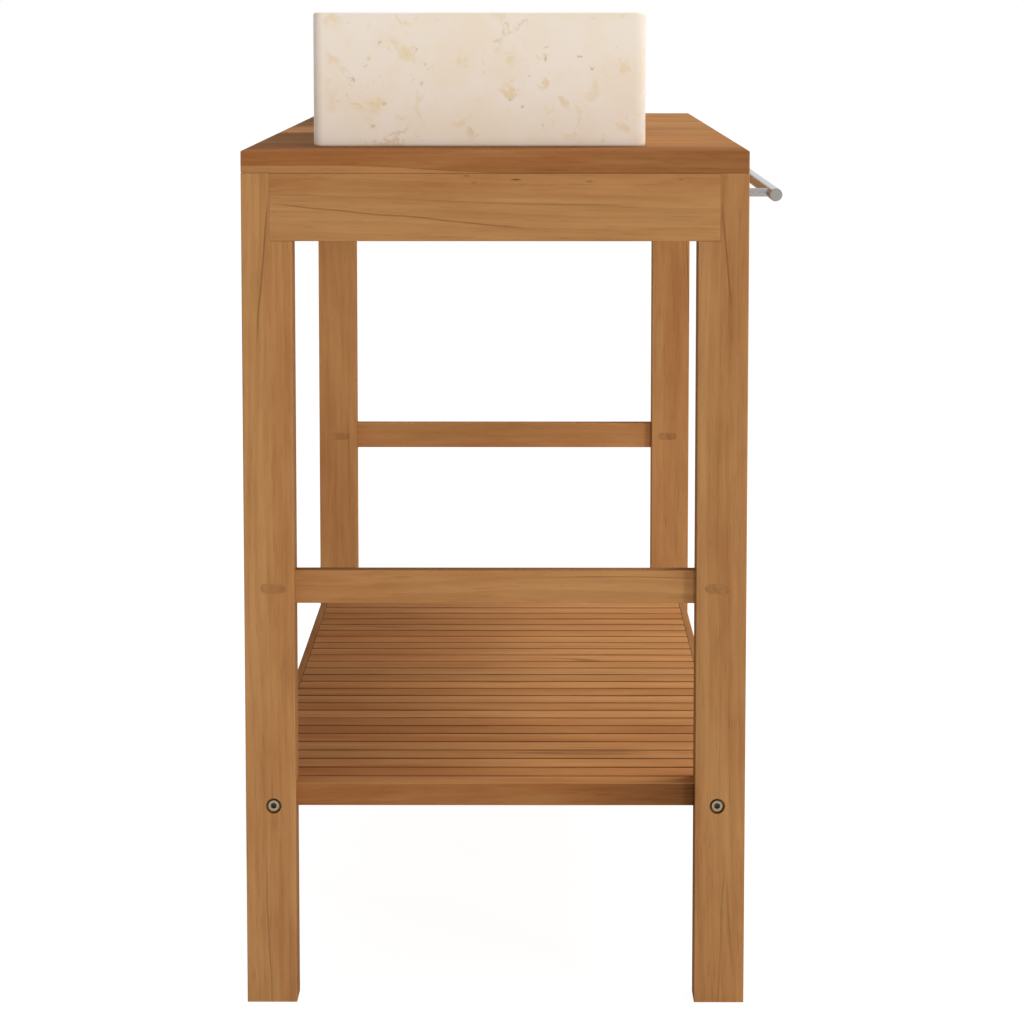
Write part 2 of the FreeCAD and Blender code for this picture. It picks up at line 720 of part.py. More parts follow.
fill_sheet()
slat_count = int(value("slat_count"))
for face_name, face_sign in FACES.items():
    for side_name, side_sign in SIDES.items():
        make_leg(f"leg_{face_name}_{side_name}", side_sign, face_sign)
    make_long_apron(f"{face_name}_apron", face_sign)
    make_shelf_rail(f"shelf_rail_{face_name}", face_sign)
for side_name, side_sign in SIDES.items():
    make_side_apron(f"side_apron_{side_name}", side_sign)
    make_stretcher(f"side_stretcher_{side_name}", side_sign)
    make_end_rail(f"shelf_end_rail_{side_name}", side_sign)
    make_basin(f"basin_{side_name}", side_sign)
    make_waste(f"waste_body_{side_name}", side_sign)
    make_plug(f"waste_plug_{side_name}", side_sign)
for slat_number in range(slat_count):
    make_slat(slat_number)
make_top_panel()
make_towel_bar()
make_keys()
make_shelf_bolts()
make_wood_screws()
make_waste_fixings()
make_bar_posts()
check_and_write()
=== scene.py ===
"""Looks of the double vanity stand: oiled hardwood, cream stone basins, a steel bar and chrome wastes."""
import random

import bpy
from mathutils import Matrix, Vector


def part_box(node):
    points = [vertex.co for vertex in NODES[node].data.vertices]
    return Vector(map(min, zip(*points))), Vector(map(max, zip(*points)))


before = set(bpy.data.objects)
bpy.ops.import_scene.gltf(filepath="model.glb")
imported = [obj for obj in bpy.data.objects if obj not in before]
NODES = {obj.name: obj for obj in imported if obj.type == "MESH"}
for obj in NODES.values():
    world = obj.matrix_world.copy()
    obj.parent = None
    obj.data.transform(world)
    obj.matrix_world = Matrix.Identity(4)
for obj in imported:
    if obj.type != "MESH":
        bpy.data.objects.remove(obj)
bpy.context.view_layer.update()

draw = random.Random(5)

# The photograph's camera: its place, where it points and its focal length in pixels
PHOTO_SIDE = 1024
SENSOR_WIDTH = 36.0
FOCAL_PIXELS = 3903.7
CAMERA_PLACE = (-4.1187, -0.0118, 0.8893)
CAMERA_AHEAD = (1.0, 0.00414, -0.12747)

# Light: how strong the world is towards the front and towards the rear, and what the lamps point at
FRONT_LIGHT = 0.61
REAR_LIGHT = 0.40
SOFT_WHITE = (1.0, 0.99, 0.97, 1.0)
WHITE = (1.0, 1.0, 1.0, 1.0)
LAMP_TARGET = (0.0, 0.0, 0.45)

# Floor: its half width, its colour for bounced light, and its glow and shadow to the eye
FLOOR_HALF = 40.0
FLOOR_COLOR = (0.80, 0.79, 0.77, 1.0)
FLOOR_GLOW = 0.94
FLOOR_SHADOW = (0.20, 0.20, 0.20, 1.0)

# Any noise: the level that it varies about
NOISE_MEAN = 0.5

# Any face: how squarely it has to point along an axis, as a cosine, to begin to count and to count in full
FACING = (0.6, 0.95)

# Wood: colours in linear light, and its dull oiled surface
TAN = (0.430, 0.216, 0.082, 1.0)
RUSSET = (0.345, 0.132, 0.043, 1.0)
LATE_WOOD = (0.130, 0.056, 0.020, 1.0)
WOOD_SURFACE = {"Specular IOR Level": 0.012, "IOR": 1.47}

# Wood: which of x, y and z runs along the fibres, across them and through the piece
GRAIN = {"X": (0, 1, 2), "Y": (1, 0, 2), "Z": (2, 1, 0)}

# Wood: where in the log a piece was cut, in metres along it and two ways from its pith
LOG_RANGES = ((0.0, 9.0), (0.05, 0.12), (0.04, 0.11))

# Wood: repeats in each metre, along the fibres and across them
DRIFT_RATE = (1.6, 8.0)
TONE_RATE = (1.5, 16.0)
FIGURE_RATE = (7.0, 46.0)
UNEVEN_RATE = (5.0, 40.0)
STREAK_RATE = (9.0, 300.0)
PORE_RATE = (40.0, 900.0)
VEIN_RATE = (1.2, 14.0)
FADE_RATE = (5.0, 9.0)
KNOT_RATE = (6.0, 19.0)

# Wood: how far fibres wander in metres, rings in each metre from the pith, and how many of these they waver
DRIFT_REACH = 0.022
RING_RATE = 130.0
RING_UNEVEN = 1.6

# Wood: levels between which each mark comes in, the veins' half width and the share of cells with a knot
PORE_LEVELS = (0.60, 0.74)
RING_RISE = (0.15, 0.90)
RING_FALL = (1.0, 0.92)
FADE_LEVELS = (0.52, 0.68)
KNOT_LEVELS = (0.15, 0.03)
WORN_LEVELS = (0.30, 0.62)
VEIN_WIDTH = 0.011
KNOT_SHARE = 0.05

# Wood: distances from an edge, in metres, between which wear comes in
WORN_EDGE = (0.0022, 0.0004)

# Wood: how dark veins and knots are, and how far tone, figure and streaks move redness and light
VEIN_DARK = 0.55
KNOT_DARK = 0.70
TONE_REDNESS = 0.60
FIGURE_REDNESS = 0.70
FIGURE_LIGHT = 0.10
STREAK_LIGHT = 0.15
STREAK_ROUGHNESS = (0.58, 0.78)
STREAK_HEIGHT = 0.6

# Wood: what each mark adds to the light, the roughness and the height of the surface
LIGHT_CHANGES = {"ring": -0.07, "pore": -0.12, "end": -0.26, "worn": 0.08}
ROUGHNESS_CHANGES = {"pore": 0.10, "end": 0.12, "worn": 0.06}
HEIGHT_CHANGES = {"pore": -0.50, "ring": -0.25, "dark": -0.50}

# Hairlines: turns in each metre; and in metres their wander, half width and fade past and before an end
CRACK_TURNS = 18.0
CRACK_WANDER = 0.002
CRACK_WIDTH = 0.0012
CRACK_FADE_OUT = 0.01
CRACK_FADE_IN = 0.02

# Hairlines by piece: start and stop, each along and across the grain in metres, and strength
CRACKS = {
    "leg_rear_left": [
        ((0.724, 0.2190), (0.600, 0.2295), 0.60),
        ((0.130, 0.2250), (-0.020, 0.2195), 0.40),
    ],
    "leg_front_left": [
        ((0.720, -0.1835), (0.628, -0.1925), 0.60),
        ((0.128, -0.1894), (-0.020, -0.1830), 0.32),
    ],
    "side_apron_left": [((0.213, 0.7225), (-0.010, 0.7016), 0.50)],
}

# Knots by piece: place along and across the grain, half length and half width in metres, and strength
KNOTS = {
    "side_apron_left": [
        (-0.001, 0.7445, 0.0062, 0.0012, 0.85),
        (0.043, 0.7478, 0.0042, 0.0009, 0.55),
        (0.036, 0.7420, 0.0036, 0.0015, 0.32),
        (-0.066, 0.7428, 0.0040, 0.0015, 0.38),
        (-0.146, 0.7446, 0.0028, 0.0008, 0.45),
    ],
}

# Hairlines and knots: the share of a knot that is darkest, and how deep both are cut into the relief
KNOT_CORE = 0.2
MARK_DEPTH = 1.6

# Pieces of an even tone: fibre direction, redness and shade; the higher shade of the right-end legs and
# stretcher is painted light, lifting them out of the shade of the near end
EVEN_WOOD = {
    "leg_front_left": ("Z", 0.14, 0.91),
    "leg_front_right": ("Z", 0.14, 1.08),
    "leg_rear_left": ("Z", 0.14, 1.00),
    "leg_rear_right": ("Z", 0.14, 1.18),
    "side_stretcher_left": ("Y", 0.24, 0.97),
    "side_stretcher_right": ("Y", 0.24, 1.20),
    "front_apron": ("X", 0.26, 0.98),
    "rear_apron": ("X", 0.26, 0.98),
    "shelf_rail_front": ("X", 0.40, 0.98),
    "shelf_rail_rear": ("X", 0.40, 0.98),
}

# Side aprons: shade, redness low and high on the face, and the heights between which it changes
APRON_SHADE = 0.96
APRON_REDNESS = (0.10, 0.50)
APRON_HEIGHTS = (0.714, 0.746)

# Shelf end rails: redness and shade off and on their sides, and where along y and how far their sides
# darken towards the front, partly dark heartwood and partly a painted shadow of the front leg
END_RAIL_REDNESS = (0.55, 0.95)
END_RAIL_SHADES = (1.25, 0.86)
HEART_AND_SHADOW_REACH = (0.00, -0.20)
HEART_AND_SHADOW_DARK = 0.46

# Shelf slats: ranges of redness and shade, how far in from the long edges a painted shade of the gaps
# reaches, and what this painted gap shade and a painted shade towards the rear add
SLAT_REDNESS = (0.20, 0.58)
SLAT_SHADES = (1.22, 1.40)
GAP_SHADE_RIM = 0.0022
GAP_SHADE_RIM_SHARE = 0.8
GAP_SHADE_REDNESS = 0.50
GAP_PAINTED_SHADE = -0.92
SHADED_REAR_REACH = (-0.05, 0.21)
SHADED_REAR_REDNESS = 0.30
REAR_PAINTED_SHADE = -0.10

# Stretcher keys: redness, shade of the near front one, the painted light that the others gain towards the
# far end and the rear, and where it comes in
KEY_REDNESS = 0.35
KEY_SHADE = 1.06
KEY_PAINTED_LIGHT = 0.11
KEY_FAR = (-0.6, 0.6)
KEY_REAR = (-0.15, 0.18)

# Top: where its first board starts along x, the boards' width, and where in the log they were cut
TOP_START = -0.665
TOP_BOARD = 0.1023
TOP_LOG_RANGES = ((0.0, 9.0), (0.0, 0.6), (0.05, 0.20))

# Top: redness and shade of its boards, and the glue lines' edge and core in board widths
TOP_REDNESS = (0.05, 0.55)
TOP_SHADES = (0.91, 1.01)
GLUE_LEVELS = (0.012, 0.004)
GLUE_SHADE = -0.30

# Top, board at the near end: it is redder, and darker on its edge and towards the front
NEAR_END_REDNESS = 0.7
NEAR_END_EDGE_SHADE = -0.08
NEAR_END_FRONT_SHADE = -0.14
NEAR_END_FRONT = (0.02, -0.21)

# Top, board at the near end: a band of sapwood that grows to its height by its reach, and the ring over it
SAP_HEIGHT = 0.0068
SAP_REACH = 0.16
SAP_EDGE = 0.0004
SAP_REDNESS = -0.55
SAP_SHADE = 0.07
LAST_RING = 0.0006
LAST_RING_WIDTH = 0.0008
LAST_RING_SHADE = -0.12

# Stone: colours in linear light, and its satin surface
CREAM = (0.815, 0.710, 0.580, 1.0)
PALE_CREAM = (0.83, 0.742, 0.648, 1.0)
OCHRE = (0.76, 0.59, 0.35, 1.0)
VEIN_BROWN = (0.60, 0.42, 0.22, 1.0)
FLECK_GOLD = (0.70, 0.50, 0.21, 1.0)
PIT_BROWN = (0.40, 0.26, 0.09, 1.0)
STONE_SURFACE = {"Specular IOR Level": 0.35, "IOR": 1.5}

# Stone: repeats of each mark in a metre, and how far most of them are stirred in metres
STIR_RATE = 30.0
CLOUD_RATE = 24.0
STAIN_RATE = 34.0
STONE_VEIN_RATE = 15.0
STONE_FADE_RATE = 22.0
FLOCK_RATE = 13.0
FLECK_RATE = 62.0
PIT_RATE = 92.0
HAZE_RATE = 45.0
STIR_REACH = 0.022

# Stone: levels between which each mark comes in, and the veins' half width
CLOUD_LEVELS = (0.36, 0.64)
STAIN_LEVELS = (0.58, 0.71)
STONE_FADE_LEVELS = (0.57, 0.70)
FLOCK_LEVELS = (0.44, 0.60)
FLECK_LEVELS = (0.62, 0.72)
PIT_LEVELS = (0.64, 0.74)
STONE_VEIN_WIDTH = 0.020

# Stone: how strongly each mark colours it, and how rough and uneven it is
STAIN_SHARE = 0.65
STONE_VEIN_SHARE = 0.45
FLECK_SHARE = 0.48
PIT_SHARE = 0.60
STONE_ROUGHNESS = (0.26, 0.44)
PIT_ROUGHNESS = 0.25
HAZE_HEIGHT = 0.12
PIT_HEIGHT = -1.0

# Metal: smudges in each metre, what they add to the roughness, and the colour of the painted shade deep in
# the bolts' sockets and at what share of its depth it begins
SMUDGE_RATE = 38.0
SMUDGE_ROUGHNESS = (-0.04, 0.06)
SOCKET_SHADE = (0.055, 0.041, 0.026, 1.0)
SOCKET_SHADE_START = 0.2

# Rubber: grains of dust in each metre, its bare and dusty colours and its roughness
DUST_RATE = 240.0
BLACK_RUBBER = (0.018, 0.018, 0.019, 1.0)
DUSTY_RUBBER = (0.060, 0.058, 0.055, 1.0)
RUBBER_ROUGHNESS = (0.55, 0.85)
RUBBER_SURFACE = {"Specular IOR Level": 0.3}


class Nodes:
    """Short calls that add nodes to a tree and hand back the socket that matters."""

    def __init__(self, tree):
        self.tree = tree

    def feed(self, socket, source):
        """Set a socket to a plain value, or link another node's output to it."""
        if isinstance(source, bpy.types.NodeSocket):
            self.tree.links.new(source, socket)
        else:
            socket.default_value = source

    def add(self, kind, sockets=None, **settings):
        """A node of that kind, with its settings and its inputs by name or number."""
        node = self.tree.nodes.new(kind)
        for setting, choice in settings.items():
            setattr(node, setting, choice)
        for socket, source in (sockets or {}).items():
            self.feed(node.inputs[socket], source)
        return node

    def math(self, operation, *terms, clamp=False):
        node = self.add("ShaderNodeMath", dict(enumerate(terms)), operation=operation, use_clamp=clamp)
        return node.outputs[0]

    def times(self, first, second):
        return self.math("MULTIPLY", first, second)

    def vector(self, operation, *terms):
        node = self.add("ShaderNodeVectorMath", dict(enumerate(terms)), operation=operation)
        return node.outputs["Value" if operation == "LENGTH" else "Vector"]

    def scaled(self, vector, factor):
        node = self.add("ShaderNodeVectorMath", {0: vector, "Scale": factor}, operation="SCALE")
        return node.outputs["Vector"]

    def parts(self, vector):
        return self.add("ShaderNodeSeparateXYZ", {0: vector}).outputs

    def joined(self, x, y, z):
        return self.add("ShaderNodeCombineXYZ", {0: x, 1: y, 2: z}).outputs[0]

    def filled(self, tree, sockets):
        """A node group with its inputs set or linked."""
        node = self.add("ShaderNodeGroup", node_tree=tree)
        for socket, source in sockets.items():
            self.feed(node.inputs[socket], source)
        return node.outputs

    def noise(self, place, scale=1.0, detail=2.0, roughness=0.5, output="Fac"):
        sockets = {"Vector": place, "Scale": scale, "Detail": detail, "Roughness": roughness}
        return self.add("ShaderNodeTexNoise", sockets).outputs[output]

    def drawn_out(self, place, rate):
        """A place stretched along the grain: one rate along the fibres and one across."""
        along, across = rate
        return self.vector("MULTIPLY", place, (along, across, across))

    def fibres(self, place, rate, detail=2.0, roughness=0.5, output="Fac"):
        """Noise drawn out along the grain."""
        return self.noise(self.drawn_out(place, rate), 1.0, detail, roughness, output)

    def sway(self, color):
        """The colour of a noise as a vector about zero."""
        return self.vector("SUBTRACT", color, (NOISE_MEAN, NOISE_MEAN, NOISE_MEAN))

    def cells(self, place):
        return self.add("ShaderNodeTexVoronoi", {"Vector": place, "Scale": 1.0}).outputs

    def step(self, level, low, high):
        """0 at low and 1 at high, smooth between; low may be the larger one."""
        sockets = {"Value": level, "From Min": low, "From Max": high}
        return self.add("ShaderNodeMapRange", sockets, interpolation_type="SMOOTHSTEP").outputs[0]

    def span(self, level, low, high):
        """A level from 0 to 1 spread evenly from low to high."""
        return self.add("ShaderNodeMapRange", {"Value": level, "To Min": low, "To Max": high}).outputs[0]

    def near(self, level, middle, width):
        """1 where the level is at the middle and 0 a width away from it."""
        gap = self.math("ABSOLUTE", self.math("SUBTRACT", level, middle))
        return self.step(gap, width, 0.0)

    def blend(self, share, first, second):
        node = self.add("ShaderNodeMix", {0: share, 6: first, 7: second}, data_type="RGBA")
        return node.outputs[2]

    def changed(self, level, change, mask):
        """The level, with the change added where the mask is 1."""
        return self.math("ADD", level, self.times(mask, change))

    def marked(self, level, changes, marks):
        """The level, with the change of every mark that has one."""
        for mark, change in changes.items():
            level = self.changed(level, change, marks[mark])
        return level


class Finish(Nodes):
    """A material under construction, with its plain surface values set on the shader itself."""

    def __init__(self, name, surface):
        self.material = bpy.data.materials.new(name)
        self.material.use_nodes = True
        super().__init__(self.material.node_tree)
        self.shader = self.tree.nodes["Principled BSDF"]
        for socket, level in surface.items():
            self.shader.inputs[socket].default_value = level
        coordinates = self.add("ShaderNodeTexCoord")
        self.place = coordinates.outputs["Object"]
        self.normal = coordinates.outputs["Normal"]

    def faces(self, axis):
        """1 on faces that point along x, y or z, given as 0, 1 or 2, either way."""
        return self.step(self.parts(self.vector("ABSOLUTE", self.normal))[axis], *FACING)

    def paint(self, color, roughness, height, depth, strength):
        """Link the surface's colour, its roughness and its relief, whose depth is in metres."""
        bump = self.add("ShaderNodeBump", {"Height": height, "Distance": depth, "Strength": strength})
        self.feed(self.shader.inputs["Base Color"], color)
        self.feed(self.shader.inputs["Roughness"], roughness)
        self.feed(self.shader.inputs["Normal"], bump.outputs["Normal"])


def dress(names, material):
    """Give CAD nodes a material."""
    for name in names:
        for slot in NODES[name].material_slots:
            slot.material = material


def new_group(name, inputs, outputs):
    """An empty node group with those sockets."""
    tree = bpy.data.node_groups.new(name, "ShaderNodeTree")
    for socket, kind in inputs.items():
        tree.interface.new_socket(socket, in_out="INPUT", socket_type="NodeSocket" + kind)
    for socket, kind in outputs.items():
        tree.interface.new_socket(socket, in_out="OUTPUT", socket_type="NodeSocket" + kind)
    return tree


def make_grain():
    """The wood itself, solid all through: rings about a pith, streaks, pores, veins and small knots."""
    tree = new_group(
        "wood_grain",
        {"Place": "Vector", "Redness": "Float", "Shade": "Float", "End": "Float", "Edge": "Float"},
        {"Color": "Color", "Roughness": "Float", "Height": "Float"},
    )
    wood = Nodes(tree)
    given = wood.add("NodeGroupInput").outputs
    straight = given["Place"]
    drift = wood.sway(wood.fibres(straight, DRIFT_RATE, detail=1.0, output="Color"))
    drift = wood.vector("MULTIPLY", drift, (0.0, DRIFT_REACH, DRIFT_REACH))
    place = wood.vector("ADD", straight, drift)

    tone = wood.fibres(place, TONE_RATE, roughness=0.6)
    figure = wood.fibres(place, FIGURE_RATE, detail=3.0, roughness=0.6)
    streak = wood.fibres(place, STREAK_RATE, detail=3.0, roughness=0.65)
    pore = wood.step(wood.fibres(place, PORE_RATE, detail=1.0), *PORE_LEVELS)

    from_pith = wood.vector("LENGTH", wood.vector("MULTIPLY", place, (0.0, 1.0, 1.0)))
    uneven = wood.span(wood.fibres(place, UNEVEN_RATE), 0.0, RING_UNEVEN)
    turn = wood.math("FRACT", wood.math("MULTIPLY_ADD", from_pith, RING_RATE, uneven))
    ring = wood.times(wood.step(turn, *RING_RISE), wood.step(turn, *RING_FALL))

    vein = wood.near(wood.fibres(place, VEIN_RATE, detail=1.0), NOISE_MEAN, VEIN_WIDTH)
    vein = wood.times(vein, wood.step(wood.fibres(straight, FADE_RATE, detail=1.0), *FADE_LEVELS))
    cell = wood.cells(wood.drawn_out(place, KNOT_RATE))
    chosen = wood.math("LESS_THAN", wood.parts(cell["Color"])[0], KNOT_SHARE)
    knot = wood.times(wood.step(cell["Distance"], *KNOT_LEVELS), chosen)
    dark = wood.math("MAXIMUM", wood.times(vein, VEIN_DARK), wood.times(knot, KNOT_DARK))
    worn = wood.times(wood.step(given["Edge"], *WORN_EDGE), wood.step(tone, *WORN_LEVELS))
    marks = {"ring": ring, "pore": pore, "dark": dark, "worn": worn, "end": given["End"]}

    redness = wood.math("ADD", given["Redness"], wood.span(tone, -TONE_REDNESS, TONE_REDNESS))
    redness = wood.math("ADD", redness, wood.span(figure, -FIGURE_REDNESS, FIGURE_REDNESS), clamp=True)
    color = wood.blend(redness, TAN, RUSSET)
    color = wood.blend(dark, color, LATE_WOOD)
    light = wood.math("ADD", given["Shade"], wood.span(streak, -STREAK_LIGHT, STREAK_LIGHT))
    light = wood.math("ADD", light, wood.span(figure, FIGURE_LIGHT, -FIGURE_LIGHT))
    light = wood.marked(light, LIGHT_CHANGES, marks)
    roughness = wood.marked(wood.span(streak, *STREAK_ROUGHNESS), ROUGHNESS_CHANGES, marks)
    height = wood.marked(wood.times(streak, STREAK_HEIGHT), HEIGHT_CHANGES, marks)
    grown = {"Color": wood.scaled(color, light), "Roughness": roughness, "Height": height}
    wood.add("NodeGroupOutput", grown)
    return tree


def make_edge_gap():
    """How far a place on a box-like piece is from the nearest edge of its box."""
    tree = new_group(
        "edge_gap",
        {"Place": "Vector", "Low": "Vector", "High": "Vector"},
        {"Gap": "Float"},
    )
    block = Nodes(tree)
    given = block.add("NodeGroupInput").outputs
    from_low = block.vector("SUBTRACT", given["Place"], given["Low"])
    from_high = block.vector("SUBTRACT", given["High"], given["Place"])
    x, y, z = block.parts(block.vector("MINIMUM", from_low, from_high))
    lesser = block.math("MINIMUM", x, y)
    greater = block.math("MAXIMUM", x, y)
    gap = block.math("MAXIMUM", lesser, block.math("MINIMUM", greater, z))
    block.add("NodeGroupOutput", {"Gap": gap})
    return tree


wood_grain = make_grain()
edge_gap = make_edge_gap()


class WoodFinish(Finish):
    """The finish of one wooden piece, with its fibres lined up and its own place in the log."""

    def __init__(self, name, grain):
        super().__init__("wood_" + name, WOOD_SURFACE)
        self.name = name
        self.order = GRAIN[grain]
        self.low, self.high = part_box(name)
        axes = self.parts(self.place)
        self.along, self.across, self.through = [axes[axis] for axis in self.order]
        self.end = self.faces(self.order[0])
        self.side = self.faces(self.order[1])
        middle = (self.low + self.high) / 2
        from_log = Vector([draw.uniform(*limits) for limits in LOG_RANGES])
        self.shift = from_log - Vector([middle[axis] for axis in self.order])

    def rim(self, reach):
        """1 at the long edges of the piece and 0 a little way in from them."""
        axis = self.order[1]
        from_low = self.math("SUBTRACT", self.across, self.low[axis])
        from_high = self.math("SUBTRACT", self.high[axis], self.across)
        return self.step(self.math("MINIMUM", from_low, from_high), reach, 0.0)

    def crack(self, start, stop, strength):
        """A dark hairline along the grain, from one place on the face to another."""
        (start_along, start_across), (stop_along, stop_across) = start, stop
        slope = (stop_across - start_across) / (stop_along - start_along)
        offset = start_across - slope * start_along
        wander = self.noise(self.joined(self.along, 0.0, 0.0), CRACK_TURNS, detail=1.0)
        course = self.math("MULTIPLY_ADD", self.along, slope, offset)
        course = self.math("ADD", course, self.span(wander, -CRACK_WANDER, CRACK_WANDER))
        line = self.near(self.across, course, CRACK_WIDTH)
        low, high = sorted((start_along, stop_along))
        past_low = self.step(self.along, low - CRACK_FADE_OUT, low + CRACK_FADE_IN)
        before_high = self.step(self.along, high + CRACK_FADE_OUT, high - CRACK_FADE_IN)
        return self.times(line, self.times(self.times(past_low, before_high), strength))

    def knot(self, along, across, half_length, half_width, strength):
        """A small dark knot at a place on the face."""
        off_along = self.math("DIVIDE", self.math("SUBTRACT", self.along, along), half_length)
        off_across = self.math("DIVIDE", self.math("SUBTRACT", self.across, across), half_width)
        gap = self.vector("LENGTH", self.joined(off_along, off_across, 0.0))
        return self.times(self.step(gap, 1.0, KNOT_CORE), strength)

    def grow(self, redness, shade, shift=None):
        """Lay the grain, then the piece's hairlines and knots, and give it the finish."""
        place = self.joined(self.along, self.across, self.through)
        place = self.vector("ADD", place, shift or self.shift)
        edge = self.filled(edge_gap, {"Place": self.place, "Low": self.low, "High": self.high})
        sockets = {"Place": place, "Redness": redness, "Shade": shade, "End": self.end, "Edge": edge["Gap"]}
        grown = self.filled(wood_grain, sockets)
        color, height = grown["Color"], grown["Height"]
        marks = [self.crack(*course) for course in CRACKS.get(self.name, ())]
        marks += [self.knot(*sizes) for sizes in KNOTS.get(self.name, ())]
        for mark in marks:
            color = self.blend(mark, color, LATE_WOOD)
            height = self.changed(height, -MARK_DEPTH, mark)
        self.paint(color, grown["Roughness"], height, depth=0.0004, strength=0.5)
        dress([self.name], self.material)


def make_side_apron(name):
    """A side apron, redder towards its upper edge."""
    piece = WoodFinish(name, "Y")
    # Its wide face is upright, so across and through change places
    piece.across, piece.through = piece.through, piece.across
    upper = piece.step(piece.across, *APRON_HEIGHTS)
    piece.grow(piece.span(upper, *APRON_REDNESS), APRON_SHADE)


def make_end_rail(name):
    """A shelf end rail, redder and darker on its sides, most of all towards the front, partly heartwood and
    partly a painted shadow of the front leg.
    """
    piece = WoodFinish(name, "Y")
    # Painted shadow: the sides darken towards the front, dark heartwood and the front leg's shadow together
    heart_and_shadow = piece.times(piece.side, piece.step(piece.along, *HEART_AND_SHADOW_REACH))
    shade = piece.changed(piece.span(piece.side, *END_RAIL_SHADES), -HEART_AND_SHADOW_DARK, heart_and_shadow)
    piece.grow(piece.span(piece.side, *END_RAIL_REDNESS), shade)


def make_slat(name):
    """A shelf slat of its own tone, with painted shade of the gaps on its sides and long edges, and redder
    and darker towards the rear as painted shade under the top.
    """
    piece = WoodFinish(name, "Y")
    # Painted shade: the sides and long edges of each slat are darkened and reddened, standing in for the
    # shade in the gaps between the slats
    gap_shade = piece.math("MAXIMUM", piece.side, piece.times(piece.rim(GAP_SHADE_RIM), GAP_SHADE_RIM_SHARE))
    # Painted shade: the slat is redder and darker towards the rear, standing in for the shade that the top
    # casts on the shelf
    rear = piece.step(piece.along, *SHADED_REAR_REACH)
    redness = piece.changed(draw.uniform(*SLAT_REDNESS), SHADED_REAR_REDNESS, rear)
    redness = piece.changed(redness, GAP_SHADE_REDNESS, gap_shade)
    shade = piece.changed(draw.uniform(*SLAT_SHADES), GAP_PAINTED_SHADE, gap_shade)
    piece.grow(redness, piece.changed(shade, REAR_PAINTED_SHADE, rear))


def make_keys(name):
    """The keys of the stretchers, lighter to the far end and to the rear as painted light where they lie in
    shade.
    """
    piece = WoodFinish(name, "X")
    # Painted light: the far and rear keys are lifted out of the shade that falls on them
    shade = piece.changed(KEY_SHADE, KEY_PAINTED_LIGHT, piece.step(piece.along, *KEY_FAR))
    piece.grow(KEY_REDNESS, piece.changed(shade, KEY_PAINTED_LIGHT, piece.step(piece.across, *KEY_REAR)))


def make_top(name):
    """The top: boards side by side with fine glue lines, and sapwood low on the board at the near end."""
    piece = WoodFinish(name, "Y")
    count = piece.math("DIVIDE", piece.math("SUBTRACT", piece.across, TOP_START), TOP_BOARD)
    board = piece.math("FLOOR", count)
    lot = piece.add("ShaderNodeTexWhiteNoise", {"W": board}, noise_dimensions="1D").outputs
    lots = piece.parts(lot["Color"])
    shift = piece.joined(*[piece.span(part, *limits) for part, limits in zip(lots, TOP_LOG_RANGES)])
    near_end = piece.math("LESS_THAN", count, 1.0)
    from_joint = piece.math("PINGPONG", count, 0.5)
    glue = piece.step(from_joint, *GLUE_LEVELS)
    front = piece.step(piece.along, *NEAR_END_FRONT)
    redness = piece.changed(piece.span(lots[1], *TOP_REDNESS), NEAR_END_REDNESS, near_end)
    shade = piece.changed(piece.span(lots[2], *TOP_SHADES), GLUE_SHADE, glue)
    shade = piece.changed(shade, NEAR_END_EDGE_SHADE, piece.times(near_end, piece.side))
    shade = piece.changed(shade, NEAR_END_FRONT_SHADE, piece.times(near_end, front))

    underside = piece.low.z
    sap_line = piece.span(piece.step(piece.along, 0.0, SAP_REACH), underside, underside + SAP_HEIGHT)
    above = piece.math("SUBTRACT", piece.through, sap_line)
    sap = piece.times(near_end, piece.step(above, SAP_EDGE, -SAP_EDGE))
    last_ring = piece.times(near_end, piece.near(above, LAST_RING, LAST_RING_WIDTH))
    redness = piece.changed(redness, SAP_REDNESS, sap)
    shade = piece.changed(shade, SAP_SHADE, sap)
    shade = piece.changed(shade, LAST_RING_SHADE, last_ring)
    piece.grow(redness, shade, shift=shift)


def make_wood():
    """Every wooden piece, in the order of their names, because each one draws its place in the log."""
    for name in sorted(NODES):
        if name in EVEN_WOOD:
            grain, redness, shade = EVEN_WOOD[name]
            WoodFinish(name, grain).grow(redness, shade)
        elif name.startswith("side_apron"):
            make_side_apron(name)
        elif name.startswith("shelf_end_rail"):
            make_end_rail(name)
        elif name.startswith("shelf_slat"):
            make_slat(name)
        elif name == "stretcher_keys":
            make_keys(name)
        elif name == "top_panel":
            make_top(name)


